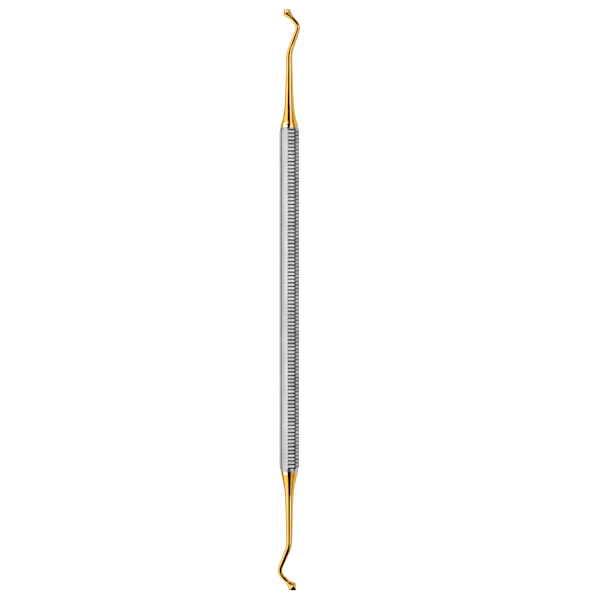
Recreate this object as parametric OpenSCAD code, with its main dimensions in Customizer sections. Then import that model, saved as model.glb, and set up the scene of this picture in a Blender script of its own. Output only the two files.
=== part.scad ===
// Double-ended dental composite burnisher, one bar of steel from point to point.
// It lies along Y on one flat of its octagonal handle, with Z up.
// The origin is on that lower flat, halfway along the handle.

/* [Handle] */
// Width of the octagonal bar across two opposite flats
across_flats = 5.5; // [4:0.1:8]
// Length of the facets along the corners of the bar
facet_length = 98.8; // [60:0.2:130]
// How far the sharp corners of the bar are taken down
corner_break = 0.04; // [0.02:0.01:0.12]
// How far the turned shoulder at each end lies below the flats
shoulder_drop = 0.09; // [0.02:0.01:0.4]
// Angle about the handle from the upper flat to the line square to the bends
flat_turn = 29.5; // [0:0.5:45]

/* [Serrations] */
// Distance from one groove to the next along a facet
groove_pitch = 1.044; // [0.84:0.002:2]
// Width of a groove at the surface of its facet
groove_width = 0.52; // [0.3:0.02:0.6]
// Width of a groove at its floor
groove_floor = 0.22; // [0.06:0.02:0.28]
// Depth of a groove
groove_depth = 0.12; // [0.08:0.01:0.2]

/* [Shank and bends] */
// Radius at the root of the tapered shank, under the cove
shank_root_r = 1.44; // [1.2:0.02:1.8]
// Radius of the shank at its first bend
shank_end_r = 0.965; // [0.85:0.005:1.15]
// Radius of the steel at the second bend
hook_tube_r = 0.74; // [0.6:0.02:0.82]
// Radius of the first bend along the middle of the shank
knee_bend_r = 8; // [3:0.5:12]

/* [Head] */
// Radius of the neck where the head starts to flare
neck_r = 0.7; // [0.45:0.01:0.8]
// Radius of the head at its rim
rim_r = 1.49; // [1.1:0.01:2]
// Length of the concave flare from the neck to the rim
flare_length = 2.5; // [1.6:0.05:3]
// Height of the cone from the rim to where its sides would meet
cone_height = 1.58; // [1:0.02:2]
// Radius that rounds the rim
rim_round = 0.1; // [0.04:0.01:0.2]
// Radius that blunts the point
point_round = 0.14; // [0.05:0.01:0.3]

/* [Upper end] */
// Length over which the turned cut runs from the corners down to the shoulder
upper_cut = 0.85; // [0.3:0.05:1.2]
// Length of the straight shoulder beyond the cut
upper_shoulder = 1; // [0.1:0.05:3]
// Length scale of the cove from the shoulder down to the shank
upper_cove = 2.95; // [2:0.05:5]
// Roundness of the start of the cove, with 1 for a sharp edge
upper_cove_power = 1; // [1:0.1:2]
// Distance from the end of the cut to the edge of the gold coating
upper_coat = 0.1; // [0.05:0.05:1.5]
// Distance from the end of the facets to the corner of the first bend
upper_shank = 23; // [14:0.1:40]
// Lean of the slanted part away from the handle's axis
upper_lean_angle = 20; // [10:0.5:35]
// Length of the slanted part, from corner to corner of its bends
upper_slant = 8.3; // [6:0.1:12]
// Lean of the hooked part to the other side of the axis
upper_hook_angle = 41; // [20:0.5:60]
// Length of the hooked part, from the corner of its bend to the point
upper_reach = 6.9; // [6.6:0.1:9]
// Radius of the second bend along the middle of the steel
upper_hook_bend_r = 2.15; // [1.4:0.05:2.6]

/* [Lower end] */
// Length over which the turned cut runs from the corners down to the shoulder
lower_cut = 0.4; // [0.2:0.05:1.2]
// Length of the straight shoulder beyond the cut
lower_shoulder = 0.1; // [0.05:0.05:3]
// Length scale of the cove from the shoulder down to the shank
lower_cove = 4.5; // [2:0.05:5]
// Roundness of the start of the cove, with 1 for a sharp edge
lower_cove_power = 1.8; // [1:0.1:2]
// Distance from the end of the cut to the edge of the gold coating
lower_coat = 0.95; // [0.05:0.05:1.5]
// Distance from the end of the facets to the corner of the first bend
lower_shank = 23.2; // [14:0.1:40]
// Lean of the slanted part away from the handle's axis
lower_lean_angle = 22.5; // [10:0.5:35]
// Length of the slanted part, from corner to corner of its bends
lower_slant = 8.4; // [6:0.1:12]
// Lean of the hooked part to the other side of the axis
lower_hook_angle = 45; // [20:0.5:60]
// Length of the hooked part, from the corner of its bend to the point
lower_reach = 7.5; // [7.1:0.1:9]
// Radius of the second bend along the middle of the steel
lower_hook_bend_r = 2.6; // [1.4:0.05:3]

/* [Hidden] */
$fn = 96;

// The colours of bright steel and of the gold coating
steel_colour = [0.78, 0.79, 0.8];
gold_colour = [0.86, 0.66, 0.33];

// The octagon and its faces, counted round the bar from the flat that lies up
face_count = 8;
full_turn = 360;
half_turn = full_turn / 2;
quarter_turn = full_turn / 4;
face_step = full_turn / face_count;
apothem = across_flats / 2;
corner_r = apothem / cos(face_step / 2);
turned_corner_r = corner_r - corner_break;
shoulder_r = apothem - shoulder_drop;
facet_half = facet_length / 2;
upper_flat_at = -quarter_turn;
octagon = [
    for (i = [0 : face_count - 1])
        let (a = face_step / 2 + i * face_step)
        corner_r * [cos(a), sin(a)]
];

// The rows of grooves: two opposite pairs of faces, the second of each pair staggered
plain_row_faces = [1, 5];
staggered_row_faces = [2, 6];
stagger_share = 0.5;
spare_grooves = 1;
groove_count = round(facet_length / groove_pitch) + spare_grooves;
comb_width = across_flats;

// One overrun for all cuts
overrun = 0.02;

// Along each end every piece starts a little inside the last one and is a hair thinner
joint_depth = 0.1;
joint_step = 0.008;

// How finely the curved outlines are divided, and how their divisions crowd to one end
cut_steps = 6;
shank_steps = 24;
shank_crowding = 1.5;
flare_steps = 12;
flare_curve = 1.8;
round_steps = 5;

// The values of each end, in the order in which the readers below find them
upper_end = [
    upper_cut, upper_shoulder, upper_cove, upper_cove_power, upper_coat, upper_shank,
    upper_lean_angle, upper_slant, upper_hook_angle, upper_reach, upper_hook_bend_r
];
lower_end = [
    lower_cut, lower_shoulder, lower_cove, lower_cove_power, lower_coat, lower_shank,
    lower_lean_angle, lower_slant, lower_hook_angle, lower_reach, lower_hook_bend_r
];
function cut(end) = end[0];
function shoulder(end) = end[1];
function cove(end) = end[2];
function cove_power(end) = end[3];
function coat(end) = end[4];
function shank(end) = end[5];
function lean_angle(end) = end[6];
function slant(end) = end[7];
function hook_angle(end) = end[8];
function reach(end) = end[9];
function hook_bend_r(end) = end[10];

// Distances along the axis from the middle of the handle
function shoulder_at(end) = facet_half + cut(end);
function cove_at(end) = shoulder_at(end) + shoulder(end);
function coat_at(end) = shoulder_at(end) + coat(end);

// How far a bend's straight ends reach from the corner where they would meet
function bend_run(bend_r, turn) = bend_r * tan(turn / 2);
function knee_run(end) = bend_run(knee_bend_r, lean_angle(end));
function hook_turn(end) = lean_angle(end) + hook_angle(end);
function hook_run(end) = bend_run(hook_bend_r(end), hook_turn(end));
function knee_at(end) = facet_half + shank(end) - knee_run(end);

// Radius of the straight shank at a distance along it, with its cove
function cove_share(z, end) = exp(-pow(max(z - cove_at(end), 0) / cove(end), cove_power(end)));
function taper_share(z, end) = max(z - cove_at(end), 0) / (knee_at(end) - cove_at(end));
function taper_r(z, end) = shank_root_r + (shank_end_r - shank_root_r) * taper_share(z, end);
function shank_r(z, end) =
    taper_r(z, end) + (shoulder_r - shank_root_r) * cove_share(z, end);

// Outline of the turned end of the handle, from the end of the facets to the coating's edge
function handle_outline(end) = concat(
    [[turned_corner_r, facet_half]],
    [
        for (i = [0 : cut_steps])
            let (z = shoulder_at(end) + coat(end) * i / cut_steps)
            [shank_r(z, end), z]
    ]
);
function below(points) = [for (i = [len(points) - 1 : -1 : 0]) [points[i][0], -points[i][1]]];

// Outline of the coated shank, from the coating's edge to the first bend
function shank_z(i, end) =
    coat_at(end) + (knee_at(end) - coat_at(end)) * pow(i / shank_steps, shank_crowding);
function shank_outline(end) = concat(
    [[0, coat_at(end)]],
    [for (i = [0 : shank_steps - 1]) [shank_r(shank_z(i, end), end), shank_z(i, end)]],
    [[shank_end_r, knee_at(end)], [0, knee_at(end)]]
);

// An arc that rounds the corner at c between the lines to a and b
function unit(v) = v / norm(v);
function rounded(a, c, b, r) =
    let (
        to_a = unit(a - c),
        to_b = unit(b - c),
        half = acos(to_a * to_b) / 2,
        middle = c + unit(to_a + to_b) * r / sin(half),
        first = c + to_a * r / tan(half) - middle,
        last = c + to_b * r / tan(half) - middle,
        sweep = half_turn - 2 * half
    )
    [
        for (i = [0 : round_steps])
            let (t = i / round_steps)
            middle + (first * sin((1 - t) * sweep) + last * sin(t * sweep)) / sin(sweep)
    ];

// Outline of the hooked part: a thin neck, a concave flare, a round rim and a blunt cone
function hooked_length(end) = reach(end) - hook_run(end);
function head_outline(end) =
    let (
        point_z = hooked_length(end),
        rim_z = point_z - cone_height,
        flare_z = rim_z - flare_length,
        flare = [
            for (i = [0 : flare_steps - 1])
                let (t = i / flare_steps)
                [neck_r + (rim_r - neck_r) * pow(t, flare_curve), flare_z + flare_length * t]
        ],
        rim = [rim_r, rim_z],
        point = [0, point_z],
        slope = atan(rim_r / cone_height),
        point_middle = point_z - point_round / sin(slope)
    )
    concat(
        [[0, -joint_depth], [hook_tube_r - joint_step, -joint_depth]],
        flare,
        rounded(flare[flare_steps - 1], rim, point, rim_round),
        [
            for (i = [0 : round_steps])
                let (a = (quarter_turn - slope) * (1 - i / round_steps))
                [point_round * sin(a), point_middle + point_round * cos(a)]
        ]
    );

// Cutter for one row of grooves, with its teeth pointing in at the axis along X
function groove_z(i, shift) = (i - (groove_count - 1) / 2) * groove_pitch + shift;
module groove_comb(shift) {
    mouth = groove_width + (groove_width - groove_floor) * overrun / groove_depth;
    mouth_x = apothem + overrun;
    floor_x = apothem - groove_depth;
    teeth = [
        for (i = [0 : groove_count - 1])
            let (z = groove_z(i, shift))
            each [
                [mouth_x, z - mouth / 2],
                [floor_x, z - groove_floor / 2],
                [floor_x, z + groove_floor / 2],
                [mouth_x, z + mouth / 2]
            ]
    ];
    back = [
        [mouth_x + groove_depth, groove_z(groove_count - 1, shift) + mouth / 2],
        [mouth_x + groove_depth, groove_z(0, shift) - mouth / 2]
    ];
    rotate([quarter_turn, 0, 0])
        linear_extrude(comb_width, center = true)
            polygon(concat(teeth, back));
}

module groove_rows(faces, shift) {
    for (face = faces)
        rotate([0, 0, upper_flat_at + face * face_step])
            groove_comb(shift);
}

// The bright bar between the coatings: an octagon that is turned down at both ends
module handle() {
    color(steel_colour)
        difference() {
            intersection() {
                linear_extrude(2 * max(coat_at(upper_end), coat_at(lower_end)) + overrun, center = true)
                    polygon(octagon);
                // Turned as the ends are, so that the round edges where they meet are the same
                rotate([0, 0, flat_turn])
                    rotate_extrude()
                        polygon(concat(
                            [[0, -coat_at(lower_end)]],
                            below(handle_outline(lower_end)),
                            handle_outline(upper_end),
                            [[0, coat_at(upper_end)]]
                        ));
            }
            groove_rows(plain_row_faces, 0);
            groove_rows(staggered_row_faces, -stagger_share * groove_pitch);
        }
}

// A bend that leaves the origin along Z and turns towards X, from a joint's depth before it
module bend(bend_r, tube_r, turn) {
    lead = asin(joint_depth / bend_r);
    translate([bend_r, 0, 0])
        rotate([quarter_turn, 0, 0])
            rotate([0, 0, half_turn - turn])
                rotate_extrude(angle = turn + lead)
                    translate([bend_r, 0])
                        circle(r = tube_r);
}

// Carries what follows to the far end of such a bend
module past_bend(bend_r, turn) {
    translate([bend_r * (1 - cos(turn)), 0, bend_r * sin(turn)])
        rotate([0, turn, 0])
            children();
}

// A gold-coated end: straight shank, first bend, slanted part, second bend and head
module coated_end(end) {
    slant_run = slant(end) - knee_run(end) - hook_run(end);
    color(gold_colour) {
        rotate_extrude()
            polygon(shank_outline(end));
        translate([0, 0, knee_at(end)]) {
            bend(knee_bend_r, shank_end_r - joint_step, lean_angle(end));
            past_bend(knee_bend_r, lean_angle(end)) {
                translate([0, 0, -joint_depth])
                    cylinder(
                        h = slant_run + joint_depth,
                        r1 = shank_end_r - 2 * joint_step,
                        r2 = hook_tube_r + joint_step
                    );
                translate([0, 0, slant_run])
                    mirror([1, 0, 0]) {
                        bend(hook_bend_r(end), hook_tube_r, hook_turn(end));
                        past_bend(hook_bend_r(end), hook_turn(end))
                            rotate_extrude()
                                polygon(head_outline(end));
                    }
            }
        }
    }
}

// The whole instrument, laid on the flat opposite the one that lies up
module burnisher() {
    translate([0, 0, apothem])
        rotate([-quarter_turn, 0, 0]) {
            handle();
            rotate([0, 0, flat_turn]) {
                coated_end(upper_end);
                rotate([0, half_turn, 0])
                    coated_end(lower_end);
            }
        }
}

burnisher();
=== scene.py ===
"""Looks of the composite burnisher: its bar of steel with two gold-coated ends, the floor,
the light and the camera. Sizes are in millimetres until a mesh or a light is made."""
import math
import random

import bmesh
import bpy
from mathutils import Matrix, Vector


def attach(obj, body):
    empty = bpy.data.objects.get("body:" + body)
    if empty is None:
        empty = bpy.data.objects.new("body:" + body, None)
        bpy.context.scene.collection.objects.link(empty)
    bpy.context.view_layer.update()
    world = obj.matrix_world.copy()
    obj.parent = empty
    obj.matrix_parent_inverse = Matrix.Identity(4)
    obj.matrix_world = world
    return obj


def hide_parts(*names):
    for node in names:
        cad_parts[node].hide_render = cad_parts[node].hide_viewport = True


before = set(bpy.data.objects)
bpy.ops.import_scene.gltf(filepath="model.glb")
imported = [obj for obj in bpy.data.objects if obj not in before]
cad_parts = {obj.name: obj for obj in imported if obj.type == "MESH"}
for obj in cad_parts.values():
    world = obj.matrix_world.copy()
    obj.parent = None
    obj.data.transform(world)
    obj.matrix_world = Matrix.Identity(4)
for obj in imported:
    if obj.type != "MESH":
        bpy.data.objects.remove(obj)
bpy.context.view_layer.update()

MM = 0.001
BAR_NODE = "burnisher"

# The octagonal handle
FACE_COUNT = 8
ACROSS_FLATS = 5.5
FACET_LENGTH = 98.8
CORNER_BREAK = 0.015
SHOULDER_DROP = 0.09
FLAT_TURN = 29.5

# The grooves, in two opposite pairs of rows with the second row of a pair staggered
GROOVE_PITCH = 1.044
GROOVE_WIDTH = 0.52
GROOVE_FLOOR = 0.22
GROOVE_DEPTH = 0.12
SPARE_GROOVES = 1
PLAIN_ROWS = (1, 5)
STAGGERED_ROWS = (2, 6)

# The shanks and heads
SHANK_ROOT_R = 1.44
SHANK_END_R = 0.965
HOOK_TUBE_R = 0.74
KNEE_BEND_R = 8.0
NECK_R = 0.7
RIM_R = 1.49
FLARE_LENGTH = 2.5
FLARE_CURVE = 1.8
CONE_HEIGHT = 1.58
RIM_ROUND = 0.1
POINT_ROUND = 0.14

UPPER_END = {
    "cut": 0.85, "shoulder": 1.0, "cove": 2.95, "cove_power": 1.0, "coat": 0.1, "shank": 23.0,
    "lean": 20.0, "slant": 8.3, "hook": 41.0, "reach": 6.9, "hook_bend_r": 2.15,
}
LOWER_END = {
    "cut": 0.4, "shoulder": 0.1, "cove": 4.5, "cove_power": 1.8, "coat": 0.95, "shank": 23.2,
    "lean": 22.5, "slant": 8.4, "hook": 45.0, "reach": 7.5, "hook_bend_r": 2.6,
}

# Values that follow from those
APOTHEM = ACROSS_FLATS / 2
FACE_STEP = 360 / FACE_COUNT
CORNER_AT = FACE_STEP / 2
HALF_FACET = APOTHEM * math.tan(math.radians(CORNER_AT))
TURNED_CORNER_R = APOTHEM / math.cos(math.radians(CORNER_AT)) - CORNER_BREAK
SHOULDER_R = APOTHEM - SHOULDER_DROP
FACET_HALF = FACET_LENGTH / 2
GROOVE_COUNT = round(FACET_LENGTH / GROOVE_PITCH) + SPARE_GROOVES
UPPER_FLAT_AT = -FLAT_TURN
ROW_SHIFTS = {face: 0.0 for face in PLAIN_ROWS}
ROW_SHIFTS.update({face: -GROOVE_PITCH / 2 for face in STAGGERED_ROWS})

# How finely the mesh is divided: places across a facet from its middle, and counts of rings
FACET_PLACES = (0.0, 0.3, 0.58, 0.76, 0.92, 1.04, 1.1)
CUT_RINGS = 10
COAT_RINGS = 6
SHANK_RINGS = 48
BEND_RINGS = 20
SLANT_RINGS = 5
NECK_RINGS = 4
FLARE_RINGS = 18
ROUND_RINGS = 5
CONE_RINGS = 6

# How the rings of a shank crowd towards the handle, how far the grooved rings stay from the ends
# of the facets, the half pitches that are tried past the last groove, and how near to the
# coating's edge a ring counts as coated
SHANK_CROWDING = 1.4
END_GAP = GROOVE_PITCH / 8
SPARE_STEPS = 2
COAT_SLACK = 0.001


# The shape of the bar: distances along the handle's axis, counted from its middle


def shoulder_at(end):
    return FACET_HALF + end["cut"]


def cove_at(end):
    return shoulder_at(end) + end["shoulder"]


def coat_at(end):
    return shoulder_at(end) + end["coat"]


def bend_run(bend_r, turn):
    """How far the straight ends of a bend reach from the corner where they would meet."""
    return bend_r * math.tan(math.radians(turn / 2))


def knee_run(end):
    return bend_run(KNEE_BEND_R, end["lean"])


def hook_run(end):
    return bend_run(end["hook_bend_r"], end["lean"] + end["hook"])


def knee_at(end):
    return FACET_HALF + end["shank"] - knee_run(end)


def slant_run(end):
    return end["slant"] - knee_run(end) - hook_run(end)


def shank_r(z, end):
    """Radius of the turned shank: an even taper under the cove that leads to the handle."""
    past = max(z - cove_at(end), 0)
    taper = SHANK_ROOT_R + (SHANK_END_R - SHANK_ROOT_R) * past / (knee_at(end) - cove_at(end))
    cove = math.exp(-((past / end["cove"]) ** end["cove_power"]))
    return taper + (SHOULDER_R - SHANK_ROOT_R) * cove


def turned_r(z, end):
    """Radius to which the octagon is turned down at its end."""
    if z <= FACET_HALF:
        return TURNED_CORNER_R
    if z < shoulder_at(end):
        share = (z - FACET_HALF) / end["cut"]
        return TURNED_CORNER_R + (SHOULDER_R - TURNED_CORNER_R) * share
    return shank_r(z, end)


def groove_place(z, shift):
    """Place along a row, counted in grooves from the middle of its first one."""
    return (z - shift) / GROOVE_PITCH + (GROOVE_COUNT - 1) / 2


def groove_depth(z, shift):
    """Depth of a row of grooves at a place along the handle."""
    place = groove_place(z, shift)
    nearest = min(max(round(place), 0), GROOVE_COUNT - 1)
    off = abs(place - nearest) * GROOVE_PITCH
    share = (GROOVE_WIDTH / 2 - off) / (GROOVE_WIDTH / 2 - GROOVE_FLOOR / 2)
    return GROOVE_DEPTH * min(max(share, 0), 1)


def face_depth(face, z):
    return groove_depth(z, ROW_SHIFTS[face]) if face in ROW_SHIFTS else 0.0


# Painted light and shade on the handle's steel: how light each face is along its left and its right
# corner, painted in place of the studio's reflections, the dark lines along some corners (face,
# side), painted shade, with their reach from the corner and how light they are there, and how much
# one land or groove differs from the next, at random, with the grooves painted darker as shade
# Painted light and shade: each face lighter or darker towards one corner, in place of the studio's
# reflections
FACE_SHADES = (
    (0.72, 1.14), (0.98, 0.98), (1.08, 1.0), (1.0, 1.0),
    (0.72, 1.14), (0.98, 0.98), (1.08, 1.0), (0.9, 0.76),
)
# Painted shade: dark lines along these corners, standing in for dark reflections
CORNER_SHADE_LINES = {
    (7, 1): (0.5, 0.14), (0, -1): (0.2, 0.14), (3, 1): (0.5, 0.14), (4, -1): (0.2, 0.14),
    (1, 1): (0.64, 0.25), (2, -1): (0.34, 0.3), (5, 1): (0.64, 0.25), (6, -1): (0.34, 0.3),
}
LINE_STEEPNESS = 1.6
GROOVED_LINE_SHARE = 0.7
GROOVED_LINE_FADE = 0.45
LAND_TONES = (0.82, 1.12)
# The grooves' range is darker than the lands': painted shade in the hollows; the staggered rows'
# grooves are painted darker still
GROOVE_SHADE_TONES = (0.42, 0.85)
STAGGERED_GROOVE_SHADE = 0.85
TONE_SEED = 11

# A painted highlight that pales the gold next to the coating's edges: its length at the upper (1)
# and the lower end (-1), where its middle is round the bar, its half width, how pale the rest is
# and how softly it ends
PALE_LENGTHS = {1: 1.35, -1: 0.75}
PALE_MIDDLE = -24
PALE_HALF = 15
PALE_AROUND = 0.1
PALE_SOFT = 0.15


def row_shade_tones():
    """How light every land and groove of every face is, at random, always in the same order; the
    grooves are drawn from a darker range as painted shade.
    """
    pick = random.Random(TONE_SEED)
    return [
        [(pick.uniform(*GROOVE_SHADE_TONES), pick.uniform(*LAND_TONES)) for _ in range(GROOVE_COUNT + 2)]
        for _ in range(FACE_COUNT)
    ]


ROW_SHADE_TONES = row_shade_tones()


def wrapped(angle):
    """The same angle between -180 and 180 degrees."""
    return (angle + 180) % 360 - 180


def row_shade_and_tone(face, z, depth):
    """How light a land or a groove is, with the depth as a share of the full one; the darker
    grooves are painted shade.
    """
    place = groove_place(z, ROW_SHIFTS[face])
    groove = ROW_SHADE_TONES[face][min(max(round(place), 0), GROOVE_COUNT - 1)][0]
    if face in STAGGERED_ROWS:
        groove *= STAGGERED_GROOVE_SHADE
    land = ROW_SHADE_TONES[face][min(max(math.floor(place), -1), GROOVE_COUNT - 1)][1]
    return land + (groove - land) * depth


def corner_line_shade(face, side, depth, from_corner):
    """How light the dark line along a corner, which is painted shade, leaves a face at a distance
    from the corner.
    """
    if (face, side) not in CORNER_SHADE_LINES:
        return 1.0
    reach, dark = CORNER_SHADE_LINES[face, side]
    if face in ROW_SHIFTS:
        reach *= GROOVED_LINE_SHARE + (1 - GROOVED_LINE_SHARE) * depth
        dark += (1 - dark) * GROOVED_LINE_FADE * depth
    share = max(1 - from_corner / reach, 0)
    return 1 - (1 - dark) * min(share * LINE_STEEPNESS, 1)


def face_shade_and_tone(face, angle, z):
    """How light the painted light and shade, times the random tone of the lands and grooves, leave
    the ground steel at a place on a face of the handle.
    """
    turn = wrapped(angle - UPPER_FLAT_AT - face * FACE_STEP)
    off = APOTHEM * math.tan(math.radians(turn))
    depth = face_depth(face, z) / GROOVE_DEPTH
    left, right = FACE_SHADES[face]
    shade_and_tone = left + (right - left) * (off / HALF_FACET + 1) / 2
    if face in ROW_SHIFTS:
        shade_and_tone *= row_shade_and_tone(face, z, depth)
    return shade_and_tone * corner_line_shade(face, 1 if off > 0 else -1, depth, HALF_FACET - abs(off))


def softly_within(share):
    """One where the share is below one, falling softly to nothing above."""
    return min(max((1 + PALE_SOFT - share) / (2 * PALE_SOFT), 0), 1)


def coat_edge_highlight(angle, way, end):
    """How strongly the painted highlight pales the gold next to the edge of a coating, most on one
    side.
    """
    past = (abs(way) - coat_at(end)) / PALE_LENGTHS[1 if way > 0 else -1]
    lit = softly_within(abs(wrapped(angle - PALE_MIDDLE)) / PALE_HALF)
    return softly_within(past) * (PALE_AROUND + (1 - PALE_AROUND) * lit)


def octagon_r(angle, z):
    """Radius of the octagon with its grooves, at an angle from the line to the viewer."""
    radius = ACROSS_FLATS
    for face in range(FACE_COUNT):
        off = math.radians(angle - UPPER_FLAT_AT - face * FACE_STEP)
        if math.cos(off) > 0:
            radius = min(radius, (APOTHEM - face_depth(face, z)) / math.cos(off))
    return radius


# The rings of the mesh, from point to point. Each is a dictionary with its middle, the lean
# of its plane, its way along the bar, and one radius and one shift along the axis an angle


def ring_angles():
    """Angles round the bar, crowded towards the corners of the octagon."""
    offs = [math.degrees(math.atan(p / APOTHEM)) for p in FACET_PLACES]
    facet = [-o for o in reversed(offs[1:])] + offs + [CORNER_AT]
    return [UPPER_FLAT_AT + face * FACE_STEP + o for face in range(FACE_COUNT) for o in facet]


ANGLES = ring_angles()
FACE_OF_ANGLE = [round((a - UPPER_FLAT_AT) / FACE_STEP) % FACE_COUNT for a in ANGLES]


def straight_ring(heights, radii):
    way = sum(heights) / len(heights)
    return {"x": 0.0, "z": 0.0, "lean": 0.0, "way": way, "heights": heights, "radii": radii}


def round_ring(x, z, lean, way, radius):
    count = len(ANGLES)
    return {"x": x, "z": z, "lean": lean, "way": way,
            "heights": [0.0] * count, "radii": [radius] * count}


def grooved_rings(lowest, highest):
    """Rings of the grooved stretch: at the floor's edges and the rim of every groove."""
    half = GROOVE_PITCH / 2
    first = -(GROOVE_COUNT - 1) / 2 * GROOVE_PITCH - half
    rings = []
    for i in range(-SPARE_STEPS, 2 * (GROOVE_COUNT + SPARE_STEPS)):
        middle = first + i * half
        for z in (middle - GROOVE_FLOOR / 2, middle + GROOVE_FLOOR / 2, middle + half / 2):
            if lowest < z < highest:
                radii = [min(octagon_r(a, z), TURNED_CORNER_R) for a in ANGLES]
                rings.append(straight_ring([z] * len(ANGLES), radii))
    return rings


def run_out_rings(end, sign, start):
    """Rings from the last full octagon to the coating, with one along the scalloped edge."""
    edge = []
    for a in ANGLES:
        turn = (a - UPPER_FLAT_AT + CORNER_AT) % FACE_STEP - CORNER_AT
        flat_r = APOTHEM / math.cos(math.radians(turn))
        share = (TURNED_CORNER_R - flat_r) / (TURNED_CORNER_R - SHOULDER_R)
        edge.append(FACET_HALF + end["cut"] * min(max(share, 0), 1))
    rings = []
    steps = [(start, edge, i / CUT_RINGS) for i in range(CUT_RINGS)]
    far = [coat_at(end)] * len(ANGLES)
    steps += [(edge, far, i / COAT_RINGS) for i in range(COAT_RINGS + 1)]
    for low, high, share in steps:
        lows = low if isinstance(low, list) else [low] * len(ANGLES)
        z = [a + (b - a) * share for a, b in zip(lows, high)]
        radii = [min(octagon_r(a, sign * h), turned_r(h, end)) for a, h in zip(ANGLES, z)]
        rings.append(straight_ring([sign * h for h in z], radii))
    return rings


def bend_rings(x, z, way, lean, turn, bend_r, radius_at):
    """Rings round a bend that starts at (x, z) with a lean and changes it by turn."""
    side = 1 if turn > 0 else -1
    middle_x = x + side * bend_r * math.cos(math.radians(lean))
    middle_z = z - side * bend_r * math.sin(math.radians(lean))
    rings = []
    for i in range(1, BEND_RINGS + 1):
        new_lean = lean + turn * i / BEND_RINGS
        new_way = way + bend_r * math.radians(abs(turn)) * i / BEND_RINGS
        rings.append(round_ring(
            middle_x - side * bend_r * math.cos(math.radians(new_lean)),
            middle_z + side * bend_r * math.sin(math.radians(new_lean)),
            new_lean, new_way, radius_at(new_way)))
    return rings


def straight_rings(ring, steps, radius_at):
    """Rings further along a ring's own lean, at distances from it."""
    lean = math.radians(ring["lean"])
    return [
        round_ring(
            ring["x"] + step * math.sin(lean), ring["z"] + step * math.cos(lean),
            ring["lean"], ring["way"] + step, radius_at(ring["way"] + step))
        for step in steps
    ]


def rounded(before, corner, after, radius):
    """Points of an arc that rounds a corner between two lines, each point (along, radius)."""
    corner = Vector(corner)
    to_a = (Vector(before) - corner).normalized()
    to_b = (Vector(after) - corner).normalized()
    half = to_a.angle(to_b) / 2
    middle = corner + (to_a + to_b).normalized() * radius / math.sin(half)
    first = corner + to_a * radius / math.tan(half) - middle
    last = corner + to_b * radius / math.tan(half) - middle
    sweep = math.pi - 2 * half
    points = []
    for i in range(ROUND_RINGS + 1):
        t = i / ROUND_RINGS
        spoke = (first * math.sin((1 - t) * sweep) + last * math.sin(t * sweep)) / math.sin(sweep)
        points.append(tuple(middle + spoke))
    return points


def head_outline(length):
    """Outline of the head as (distance along, radius): flare, round rim, cone, blunt point."""
    rim_at = length - CONE_HEIGHT
    flare_at = rim_at - FLARE_LENGTH
    flare = [
        (flare_at + FLARE_LENGTH * t, NECK_R + (RIM_R - NECK_R) * t ** FLARE_CURVE)
        for t in (i / FLARE_RINGS for i in range(FLARE_RINGS))
    ]
    slope = math.atan(RIM_R / CONE_HEIGHT)
    point_middle = length - POINT_ROUND / math.sin(slope)
    cap = []
    for i in range(ROUND_RINGS + 1):
        turn = (math.pi / 2 - slope) * (1 - i / ROUND_RINGS)
        cap.append((point_middle + POINT_ROUND * math.cos(turn), POINT_ROUND * math.sin(turn)))
    rim = rounded(flare[-1], (rim_at, RIM_R), (length, 0), RIM_ROUND)
    cone = [
        tuple(Vector(rim[-1]).lerp(Vector(cap[0]), i / CONE_RINGS)) for i in range(1, CONE_RINGS)
    ]
    neck = [(flare_at * i / NECK_RINGS, HOOK_TUBE_R + (NECK_R - HOOK_TUBE_R) * i / NECK_RINGS)
            for i in range(1, NECK_RINGS)]
    return neck + flare + rim + cone + cap


def end_rings(end):
    """Rings of a coated end beyond the coating's edge, for an end that points up."""
    coat, knee = coat_at(end), knee_at(end)
    rings = []
    for i in range(1, SHANK_RINGS + 1):
        z = coat + (knee - coat) * (i / SHANK_RINGS) ** SHANK_CROWDING
        rings.append(round_ring(0.0, z, 0.0, z, shank_r(z, end)))
    knee_length = KNEE_BEND_R * math.radians(end["lean"])
    hook_at = knee + knee_length + slant_run(end)

    def tube_r(way):
        share = min((way - knee) / (hook_at - knee), 1)
        return SHANK_END_R + (HOOK_TUBE_R - SHANK_END_R) * share

    rings += bend_rings(0.0, knee, knee, 0.0, end["lean"], KNEE_BEND_R, tube_r)
    steps = [slant_run(end) * i / SLANT_RINGS for i in range(1, SLANT_RINGS + 1)]
    rings += straight_rings(rings[-1], steps, tube_r)
    last = rings[-1]
    rings += bend_rings(last["x"], last["z"], last["way"], last["lean"],
                        -end["lean"] - end["hook"], end["hook_bend_r"], tube_r)
    last = rings[-1]
    for along, radius in head_outline(end["reach"] - hook_run(end)):
        rings += straight_rings(last, [along], lambda way: radius)
    return rings


def turned_over(ring):
    """The same ring on the other end, which is the first one turned half round the view line."""
    return {**ring, "x": -ring["x"], "z": -ring["z"], "way": -ring["way"]}


def bar_rings():
    low = -FACET_HALF + END_GAP
    high = FACET_HALF - END_GAP
    lower = [turned_over(r) for r in reversed(end_rings(LOWER_END))]
    lower += reversed(run_out_rings(LOWER_END, -1, -low))
    upper = run_out_rings(UPPER_END, 1, high) + end_rings(UPPER_END)
    return lower + grooved_rings(low, high) + upper


# From rings to a mesh in the frame's metres

TO_RIGHT = Vector((math.cos(math.radians(FLAT_TURN)), 0, -math.sin(math.radians(FLAT_TURN))))
TO_VIEWER = Vector((math.sin(math.radians(FLAT_TURN)), 0, math.cos(math.radians(FLAT_TURN))))
ALONG = Vector((0, 1, 0))
AXIS_AT = Vector((0, 0, APOTHEM))


def in_frame(x, towards_viewer, z):
    """A point of the bar's own right, viewer and along lines, in the frame's metres."""
    return (AXIS_AT + TO_RIGHT * x + TO_VIEWER * towards_viewer + ALONG * z) * MM


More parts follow.
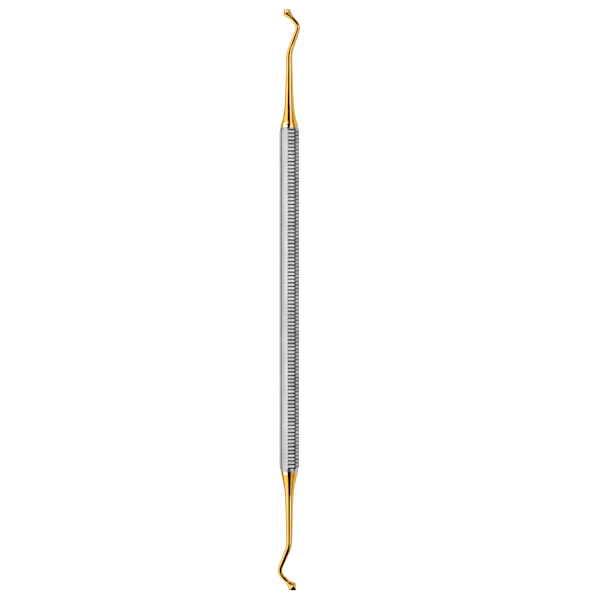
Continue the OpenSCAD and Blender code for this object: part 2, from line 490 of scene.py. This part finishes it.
def ring_points(ring):
    lean = math.radians(ring["lean"])
    points = []
    for angle, height, radius in zip(ANGLES, ring["heights"], ring["radii"]):
        across = radius * math.sin(math.radians(angle))
        x = ring["x"] + across * math.cos(lean)
        z = ring["z"] + height - across * math.sin(lean)
        points.append(in_frame(x, radius * math.cos(math.radians(angle)), z))
    return points


# What the materials know of each point: its place in the straightened bar, how deep it lies in
# a groove, how light the steel is with its painted light and shade, how far a painted highlight
# pales the gold, and how far past the coating's edge
VALUE_NAMES = ("bar_place", "hollow", "shade_and_tone", "pale", "past_coat")


def ring_values(ring):
    end = UPPER_END if ring["way"] > 0 else LOWER_END
    values = []
    for angle, height, radius, face in zip(
            ANGLES, ring["heights"], ring["radii"], FACE_OF_ANGLE):
        way = height if ring["z"] == 0 else ring["way"]
        turn = math.radians(angle)
        on_handle = abs(way) < FACET_HALF + end["cut"]
        values.append((
            (radius * math.sin(turn), radius * math.cos(turn), way),
            face_depth(face, way) / GROOVE_DEPTH if on_handle else 0.0,
            face_shade_and_tone(face, angle, way) if on_handle else 1.0,
            coat_edge_highlight(angle, way, end),
            abs(way) - coat_at(end)))
    return values


def tip_values(tip):
    return ((0.0, 0.0, tip["way"]), 0.0, 1.0, 0.0, abs(tip["way"]) - FACET_HALF)


def bar_faces(rings, values):
    """The faces between the rings and round both tips, and the material slot of each."""
    count = len(ANGLES)
    last = len(rings) - 1
    faces, slots = [], []
    for i in range(last):
        past_coat = min(values[i * count][-1], values[(i + 1) * count][-1])
        slot = 1 if past_coat > -COAT_SLACK else 0
        for j in range(count):
            k = (j + 1) % count
            faces.append((i * count + j, (i + 1) * count + j, (i + 1) * count + k, i * count + k))
            slots.append(slot)
    for number, first, order in ((0, 0, 1), (1, last * count, -1)):
        tip = len(rings) * count + number
        for j in range(count):
            faces.append((tip, first + j, first + (j + 1) % count)[::order])
            slots.append(1)
    return faces, slots


def make_bar(rings, materials):
    """One closed mesh, with the values that its materials need on it."""
    tips = (rings[0], rings[-1])
    rings = rings[1:-1]
    points = [point for ring in rings for point in ring_points(ring)]
    points += [ring_points(tip)[0] for tip in tips]
    values = [value for ring in rings for value in ring_values(ring)]
    values += [tip_values(tip) for tip in tips]
    faces, slots = bar_faces(rings, values)

    mesh = bpy.data.meshes.new("burnisher_bar")
    mesh.from_pydata(points, [], faces)
    mesh.validate()
    for name, column in zip(VALUE_NAMES, zip(*values)):
        if name == "bar_place":
            layer = mesh.attributes.new(name, "FLOAT_VECTOR", "POINT")
            layer.data.foreach_set("vector", [part for place in column for part in place])
        else:
            layer = mesh.attributes.new(name, "FLOAT", "POINT")
            layer.data.foreach_set("value", column)
    for material in materials:
        mesh.materials.append(material)
    mesh.polygons.foreach_set("material_index", slots)
    mesh.polygons.foreach_set("use_smooth", [True] * len(faces))
    mesh.update()
    bar = bpy.data.objects.new("burnisher_bar", mesh)
    bpy.context.scene.collection.objects.link(bar)
    return bar


# Materials

STEEL_COLOUR = (0.66, 0.66, 0.66, 1)
STEEL_DULL = (0.56, 0.56, 0.56, 1)
# Painted shade for the hollows of the grooves
GROOVE_SHADE_COLOUR = (0.34, 0.34, 0.35, 1)
GOLD_COLOUR = (0.97, 0.66, 0.29, 1)
GOLD_DEEP = (0.93, 0.59, 0.22, 1)
# Colour of the painted highlight on the gold
GOLD_HIGHLIGHT = (1.0, 0.93, 0.72, 1)
# Painted shade: a deeper gold by the handle, and how far past the coating's edge it reaches
GOLD_FLARE_SHADE = (0.95, 0.56, 0.155, 1)
FLARE_SHADE_REACH = (0.5, 8.0)
COAT_EDGE = (0.05, 0.2)
COAT_RAGGEDNESS = 0.12
FLOOR_COLOUR = (0.34, 0.34, 0.34, 1)
FLOOR_PALE = (0.36, 0.36, 0.36, 1)

# Stretches of the noises across the bar, towards the viewer and along it
STEEL_GRAIN = (14.0, 14.0, 0.6)
STEEL_PATCHES = (0.5, 0.5, 0.12)
STEEL_STREAKS = (2.6, 2.6, 0.03)
GOLD_PATCHES = (0.5, 0.5, 0.25)
GOLD_LINES = (9.0, 9.0, 0.5)
GOLD_RAGGED = (3.0, 3.0, 3.0)
FLOOR_GRAIN = (60.0, 60.0, 60.0)

# Noise runs between these in the main
NOISE_LOW = 0.3
NOISE_HIGH = 0.7

STREAK_TONES = (0.92, 1.08)
STEEL_ROUGHNESS = (0.24, 0.34)
GROOVE_ROUGHER = 0.15
STEEL_BUMP = 0.15
GOLD_ROUGHNESS = (0.05, 0.1)
GOLD_BUMP = 0.08
BUMP_HEIGHT = 0.00002


def feed(tree, socket, value):
    """Link another node's output to a socket, or set the socket to a plain value."""
    if isinstance(value, bpy.types.NodeSocket):
        tree.links.new(value, socket)
    else:
        socket.default_value = value


class Nodes:
    """Short calls for a material's nodes."""

    def __init__(self, name):
        self.material = bpy.data.materials.new(name)
        self.material.use_nodes = True
        self.tree = self.material.node_tree
        self.shader = self.tree.nodes["Principled BSDF"]

    def new(self, kind, settings=None, **inputs):
        node = self.tree.nodes.new(kind)
        for name, value in (settings or {}).items():
            setattr(node, name, value)
        for name, value in inputs.items():
            self.put(node, name.replace("_", " "), value)
        return node

    def put(self, node, name, value):
        feed(self.tree, node.inputs[name], value)

    def attribute(self, name):
        return self.new("ShaderNodeAttribute", {"attribute_name": name})

    def noise(self, place, stretch, detail=4.0, rough=0.55):
        """Noise in the bar's own coordinates, finer along a line with a greater stretch."""
        mapping = self.new("ShaderNodeMapping", Vector=place, Scale=stretch)
        node = self.new("ShaderNodeTexNoise", Vector=mapping.outputs["Vector"],
                        Scale=1.0, Detail=detail, Roughness=rough)
        return node.outputs["Fac"]

    def ramp(self, value, low, high, to_low=0.0, to_high=1.0):
        node = self.new("ShaderNodeMapRange", {"interpolation_type": "SMOOTHSTEP"})
        for socket, number in zip(node.inputs, (value, low, high, to_low, to_high)):
            feed(self.tree, socket, number)
        return node.outputs["Result"]

    def maths(self, operation, a, b):
        node = self.new("ShaderNodeMath", {"operation": operation})
        for socket, number in zip(node.inputs, (a, b)):
            feed(self.tree, socket, number)
        return node.outputs[0]

    def blend(self, share, a, b):
        node = self.new("ShaderNodeMix", {"data_type": "RGBA"})
        for index, value in ((0, share), (6, a), (7, b)):
            feed(self.tree, node.inputs[index], value)
        return node.outputs[2]

    def scaled(self, colour, factor):
        node = self.new("ShaderNodeVectorMath", {"operation": "SCALE"}, Vector=colour, Scale=factor)
        return node.outputs["Vector"]

    def spread(self, noise, to_low=0.0, to_high=1.0):
        """A noise stretched over a range."""
        return self.ramp(noise, NOISE_LOW, NOISE_HIGH, to_low, to_high)

    def bump(self, height, strength):
        node = self.new("ShaderNodeBump", Height=height, Strength=strength, Distance=BUMP_HEIGHT)
        return node.outputs["Normal"]


def steel_material():
    """Ground stainless steel: fine lines along the bar, duller in the grooves and painted darker
    there as shade, and lighter or darker by the painted light and shade of the handle's faces and
    corners.
    """
    n = Nodes("ground_steel")
    place = n.attribute("bar_place").outputs["Vector"]
    hollow = n.attribute("hollow").outputs["Fac"]
    grain = n.noise(place, STEEL_GRAIN)
    patches = n.noise(place, STEEL_PATCHES, detail=3.0)
    streaks = n.noise(place, STEEL_STREAKS, detail=2.0)
    colour = n.blend(n.spread(patches), STEEL_DULL, STEEL_COLOUR)
    # Painted shade: darker deep in the grooves
    colour = n.blend(hollow, colour, GROOVE_SHADE_COLOUR)
    # Painted light and shade of the faces, their corner lines and grooves, times the random tone of
    # lands and grooves
    shade_and_tone = n.attribute("shade_and_tone").outputs["Fac"]
    shade_and_tone = n.maths("MULTIPLY", shade_and_tone, n.spread(streaks, *STREAK_TONES))
    rougher = n.maths("MULTIPLY", hollow, GROOVE_ROUGHER)
    n.put(n.shader, "Base Color", n.scaled(colour, shade_and_tone))
    n.put(n.shader, "Metallic", 1.0)
    n.put(n.shader, "Roughness", n.maths("ADD", n.spread(grain, *STEEL_ROUGHNESS), rougher))
    n.put(n.shader, "Normal", n.bump(grain, STEEL_BUMP))
    return n.material


def gold_material():
    """Titanium nitride over polished steel: gold, painted deeper by the handle as shade, and paled
    by a painted highlight next to its soft masked edge."""
    n = Nodes("gold_nitride")
    place = n.attribute("bar_place").outputs["Vector"]
    past = n.attribute("past_coat").outputs["Fac"]
    patches = n.noise(place, GOLD_PATCHES, detail=3.0)
    lines = n.noise(place, GOLD_LINES)
    ragged = n.noise(place, GOLD_RAGGED)
    gold = n.blend(n.spread(patches), GOLD_DEEP, GOLD_COLOUR)
    # Painted shade: the gold deeper near the handle
    gold = n.blend(n.ramp(past, *FLARE_SHADE_REACH), GOLD_FLARE_SHADE, gold)
    # Painted highlight next to the coating's edge
    gold = n.blend(n.attribute("pale").outputs["Fac"], gold, GOLD_HIGHLIGHT)
    edge = n.maths("ADD", past, n.maths("MULTIPLY", ragged, COAT_RAGGEDNESS))
    n.put(n.shader, "Base Color", n.blend(n.ramp(edge, *COAT_EDGE), STEEL_COLOUR, gold))
    n.put(n.shader, "Metallic", 1.0)
    n.put(n.shader, "Roughness", n.spread(lines, *GOLD_ROUGHNESS))
    n.put(n.shader, "Normal", n.bump(lines, GOLD_BUMP))
    return n.material


def pale_material():
    """A pale table or backdrop lit from within, so that only a faint shadow shows on it."""
    n = Nodes("pale_floor")
    place = n.new("ShaderNodeTexCoord").outputs["Object"]
    n.put(n.shader, "Base Color", n.blend(n.noise(place, FLOOR_GRAIN), FLOOR_COLOUR, FLOOR_PALE))
    n.put(n.shader, "Roughness", 0.9)
    n.put(n.shader, "Specular IOR Level", 0.1)
    n.put(n.shader, "Emission Color", (1.0, 1.0, 1.0, 1))
    n.put(n.shader, "Emission Strength", FLOOR_GLOW)
    return n.material


def card_material():
    n = Nodes("black_card")
    n.put(n.shader, "Base Color", CARD_COLOUR)
    n.put(n.shader, "Roughness", 1.0)
    n.put(n.shader, "Specular IOR Level", 0.0)
    return n.material


# Floor, light and camera

FLOOR_HALF = 1.5
FLOOR_GLOW = 1.0
BACKDROP_R = 1.5
BACKDROP_SEGMENTS = 48
BACKDROP_RINGS = 24
PHOTO_PIXELS = 600
MM_A_PIXEL = 0.294
AXIS_PIXEL = (289.25, 299.1)
LENS_MM = 135.0
SENSOR_MM = 36.0
BLACK_LEVEL = 0.07

# The studio's soft white panels as the polished bar sees them. Each has its brightness, its
# lowest and highest angle round the bar from the line to the viewer (right is positive), and
# its lowest and highest lean along the bar, from -1 for the foot of the picture to 1
PANELS = (
    ("left", 1.15, -97, -38, -1.3, 1.3),
    ("left_inner", 0.95, -38, -22, -0.6, 0.03),
    ("left_inner_middle", 0.95, -38, -20, 0.03, 0.11),
    ("left_inner_upper", 0.9, -38, -28, 0.31, 0.62),
    ("left_inner_top", 0.95, -38, -17, 0.62, 1.3),
    ("left_gap_dim", 0.22, -117, -97, 0.3, 0.55),
    ("left_gap_upper", 1.0, -117, -97, 0.55, 1.3),
    ("left_edge", 0.85, -178, -117, -0.8, 1.3),
    ("left_edge_foot", 0.85, -150, -117, -1.3, -0.8),
    ("right", 1.4, 11, 44, -0.1, 0.25),
    ("right_upper", 1.35, 16, 44, 0.25, 1.3),
    ("right_lower", 1.4, 21, 46, -0.22, -0.1),
    ("right_foot", 0.62, 23, 60, -0.58, -0.22),
    ("right_warm", 0.6, 44, 56, -0.22, 0.85),
    ("right_dim", 0.2, 56, 76, -0.5, 0.85),
    ("right_edge", 0.72, 76, 174, -0.56, 0.82),
    ("right_edge_top", 0.35, 76, 160, 0.82, 1.3),
    ("foot", 0.9, -38, -8, -1.3, -0.66),
)
PANEL_SOFT_DEGREES = 4.0
PANEL_SOFT_LEAN = 0.03
ROOM_LIGHT = 0.055

# Small black cards near the ends, as a photographer stands them to draw a dark line on polished
# metal. Each has its lowest and highest angle and its lowest and highest place along the bar.
# They only show in reflections
CARDS = (
    ("lower_card", 3, 71, -92, -79.5), ("lower_hook_card", 4, 34, -79.5, -75.5),
    ("upper_card", -8, 50, 84, 96), ("upper_slant_card", -13, 32, 75.5, 81.5),
)
CARD_AWAY = 15.0
CARD_STEPS = 12
CARD_COLOUR = (0.04, 0.04, 0.04, 1)


def stage_piece(name, points, faces, material):
    """A piece of the stage, which isn't part of the object."""
    mesh = bpy.data.meshes.new(name)
    mesh.from_pydata(points, [], faces)
    mesh.materials.append(material)
    piece = bpy.data.objects.new(name, mesh)
    bpy.context.scene.collection.objects.link(piece)
    return piece


def make_floor(material):
    corners = [(-FLOOR_HALF, -FLOOR_HALF, 0), (FLOOR_HALF, -FLOOR_HALF, 0),
               (FLOOR_HALF, FLOOR_HALF, 0), (-FLOOR_HALF, FLOOR_HALF, 0)]
    floor = stage_piece("floor", corners, [(0, 1, 2, 3)], material)
    # The bar mirrors the studio's panels alone
    floor.visible_glossy = False


def make_backdrop(material):
    """A plain pale dome behind the floor, which only the camera sees."""
    dome = bmesh.new()
    bmesh.ops.create_uvsphere(
        dome, u_segments=BACKDROP_SEGMENTS, v_segments=BACKDROP_RINGS, radius=BACKDROP_R)
    dome.verts.index_update()
    points = [tuple(vert.co) for vert in dome.verts]
    faces = [[vert.index for vert in face.verts] for face in dome.faces]
    dome.free()
    backdrop = stage_piece("backdrop", points, faces, material)
    backdrop.visible_glossy = False
    backdrop.visible_diffuse = False
    backdrop.visible_shadow = False


class Sky:
    """Short calls for the world's nodes."""

    def __init__(self, name):
        self.world = bpy.data.worlds.new(name)
        self.world.use_nodes = True
        self.tree = self.world.node_tree

    def new(self, kind, *values, **settings):
        node = self.tree.nodes.new(kind)
        for name, value in settings.items():
            setattr(node, name, value)
        for socket, value in zip(node.inputs, values):
            feed(self.tree, socket, value)
        return node.outputs[0]

    def within(self, value, low, high, soft):
        """One between low and high, falling softly to nothing outside."""
        rise = self.new("ShaderNodeMapRange", value, low - soft, low + soft, 0.0, 1.0,
                        interpolation_type="SMOOTHSTEP")
        fall = self.new("ShaderNodeMapRange", value, high - soft, high + soft, 1.0, 0.0,
                        interpolation_type="SMOOTHSTEP")
        return self.new("ShaderNodeMath", rise, fall, operation="MULTIPLY")


def make_studio():
    """A dark room with soft white panels, and a dark gap where the camera looks through."""
    sky = Sky("studio")
    bpy.context.scene.world = sky.world
    coordinates = sky.tree.nodes.new("ShaderNodeTexCoord")
    split = sky.tree.nodes.new("ShaderNodeSeparateXYZ")
    sky.tree.links.new(coordinates.outputs["Generated"], split.inputs[0])
    radians = sky.new("ShaderNodeMath", split.outputs["X"], split.outputs["Z"],
                      operation="ARCTAN2")
    degrees = sky.new("ShaderNodeMath", radians, operation="DEGREES")
    turned = sky.new("ShaderNodeMath", degrees, FLAT_TURN, operation="SUBTRACT")
    angle = sky.new("ShaderNodeMath", turned, 180.0, -180.0, operation="WRAP")
    light = ROOM_LIGHT
    for _, brightness, low, high, foot, head in PANELS:
        across = sky.within(angle, low, high, PANEL_SOFT_DEGREES)
        along = sky.within(split.outputs["Y"], foot, head, PANEL_SOFT_LEAN)
        share = sky.new("ShaderNodeMath", across, along, operation="MULTIPLY")
        light = sky.new("ShaderNodeMath", share, brightness, light, operation="MULTIPLY_ADD")
    sky.tree.links.new(light, sky.tree.nodes["Background"].inputs["Color"])


def make_card(name, low, high, foot, head, material):
    points = []
    for i in range(CARD_STEPS + 1):
        turn = math.radians(low + (high - low) * i / CARD_STEPS)
        across, forward = CARD_AWAY * math.sin(turn), CARD_AWAY * math.cos(turn)
        points += [in_frame(across, forward, z) for z in (foot, head)]
    faces = [(2 * i, 2 * i + 1, 2 * i + 3, 2 * i + 2) for i in range(CARD_STEPS)]
    card = stage_piece(name, points, faces, material)
    card.visible_camera = False
    card.visible_diffuse = False
    card.visible_shadow = False


def make_cards():
    material = card_material()
    for card in CARDS:
        make_card(*card, material)


def make_camera():
    """Square to the bends, with the handle's middle at its pixel of the photograph."""
    data = bpy.data.cameras.new("camera")
    data.lens = LENS_MM
    data.sensor_width = SENSOR_MM
    camera = bpy.data.objects.new("camera", data)
    bpy.context.scene.collection.objects.link(camera)
    middle = PHOTO_PIXELS / 2
    right = (middle - AXIS_PIXEL[0]) * MM_A_PIXEL
    along = (AXIS_PIXEL[1] - middle) * MM_A_PIXEL
    distance = PHOTO_PIXELS * MM_A_PIXEL * LENS_MM / SENSOR_MM
    camera.location = in_frame(right, distance, along)
    camera.rotation_euler = (0, math.radians(FLAT_TURN), 0)
    bpy.context.scene.camera = camera


def set_view():
    """A plain view with the darkest tones taken down, as in a studio photograph."""
    view = bpy.context.scene.view_settings
    view.view_transform = "Standard"
    view.use_curve_mapping = True
    view.curve_mapping.black_level = [BLACK_LEVEL] * 3
    view.curve_mapping.update()


def make_burnisher():
    bar = make_bar(bar_rings(), [steel_material(), gold_material()])
    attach(bar, "root")
    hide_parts(BAR_NODE)


pale = pale_material()
make_camera()
make_floor(pale)
make_backdrop(pale)
make_studio()
make_cards()
make_burnisher()
set_view()
